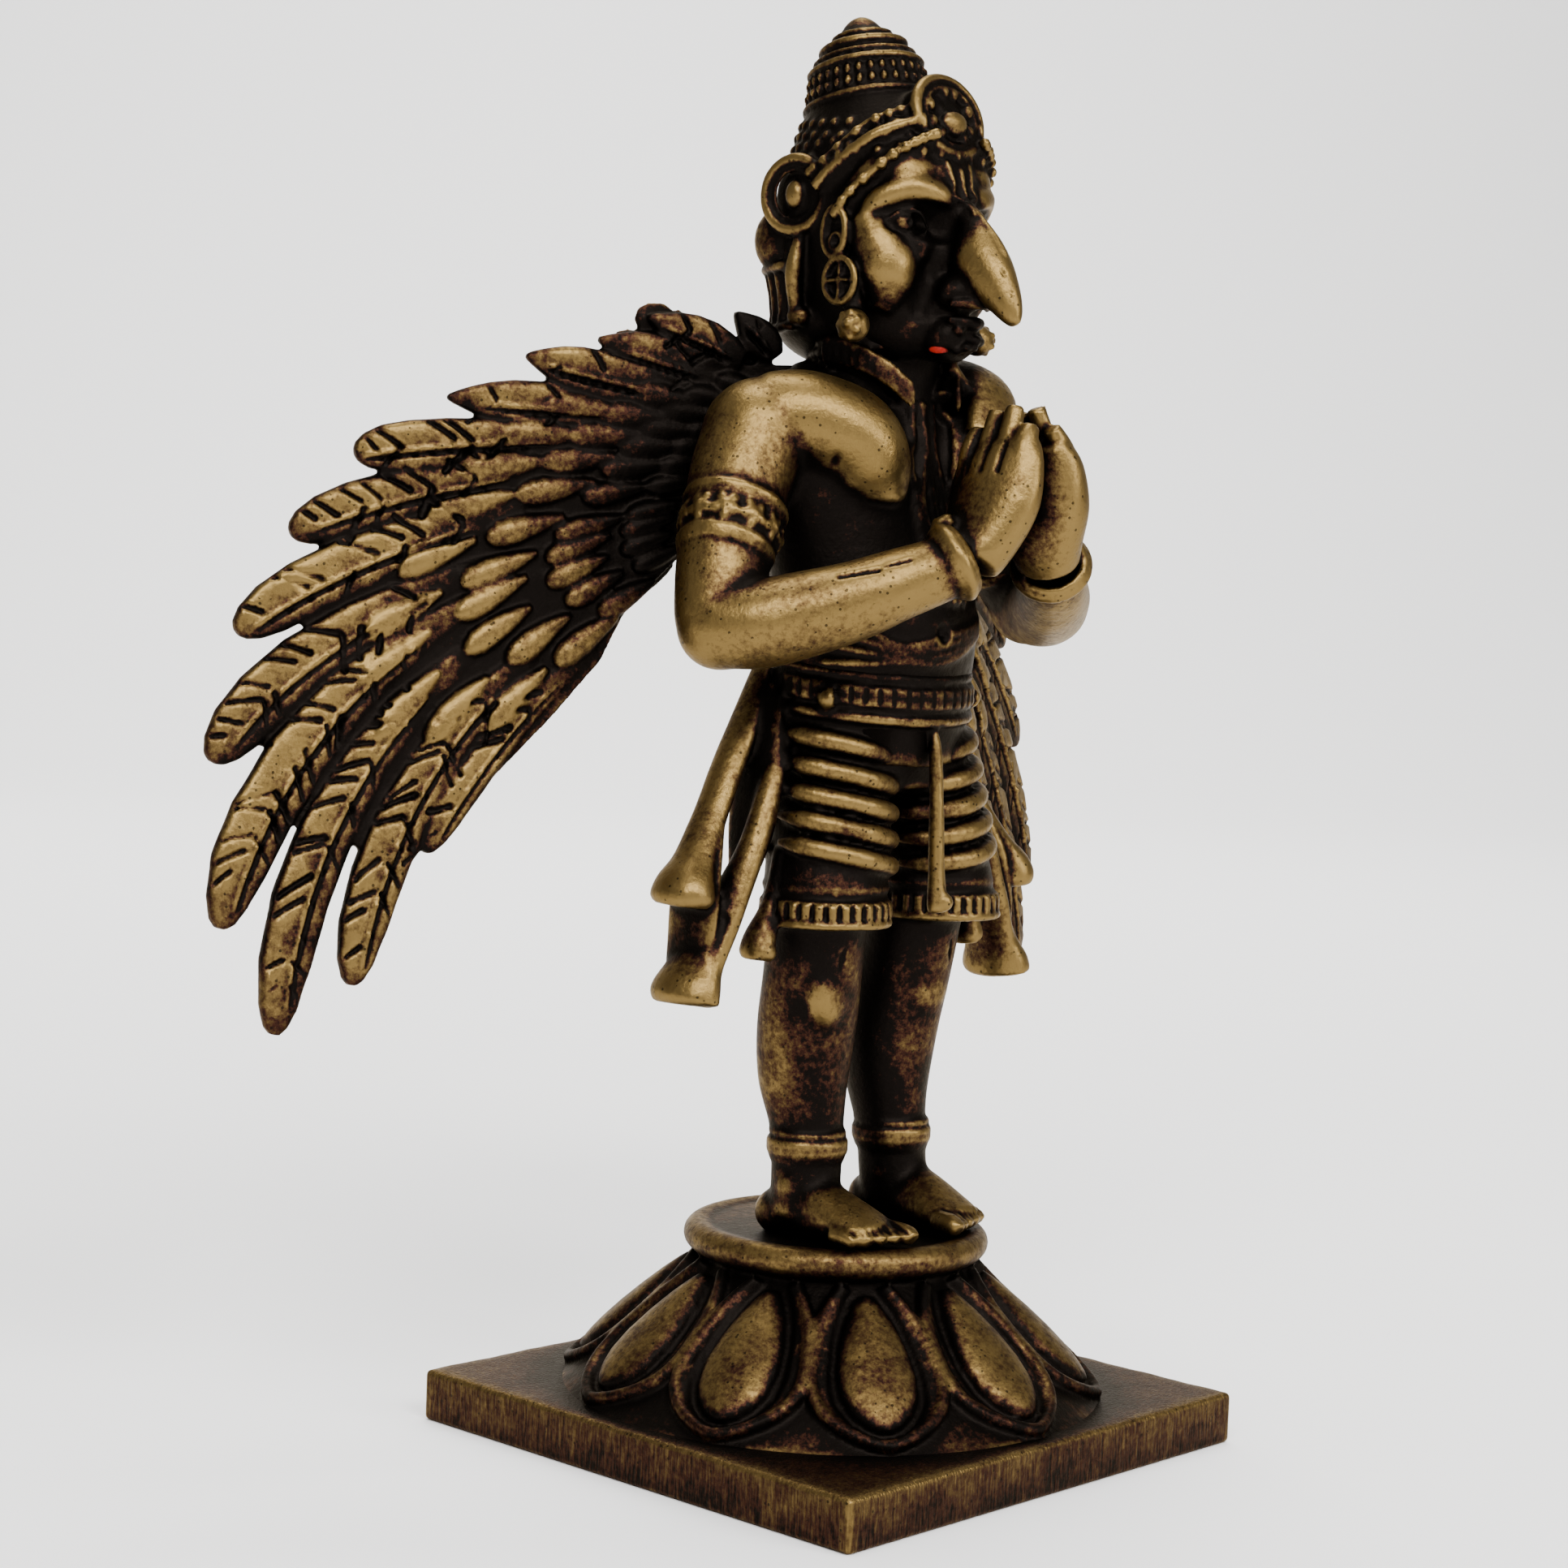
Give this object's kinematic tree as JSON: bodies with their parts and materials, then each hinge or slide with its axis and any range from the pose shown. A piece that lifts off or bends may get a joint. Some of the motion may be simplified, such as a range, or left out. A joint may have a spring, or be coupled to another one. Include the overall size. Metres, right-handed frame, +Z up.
{
  "type": "brass garuda statue",
  "caption": "Standing winged, beaked attendant in a tiered crown, palms joined, cast in brass with its lotus pedestal and square plate.",
  "frame": {"origin": "centre of the square plate's flat underside", "axes": "+Z up through the figure, -Y is the way the figure faces, +X towards the figure's left hand side"},
  "size_m": [0.0993, 0.0482, 0.118],
  "materials": {
    "aged_brass": "rubbed cast brass, olive gold on the high places, near-black patina in the hollows"
  },
  "bodies": {
    "root": {"garuda_statue": "aged_brass"}
  },
  "joints": []
}
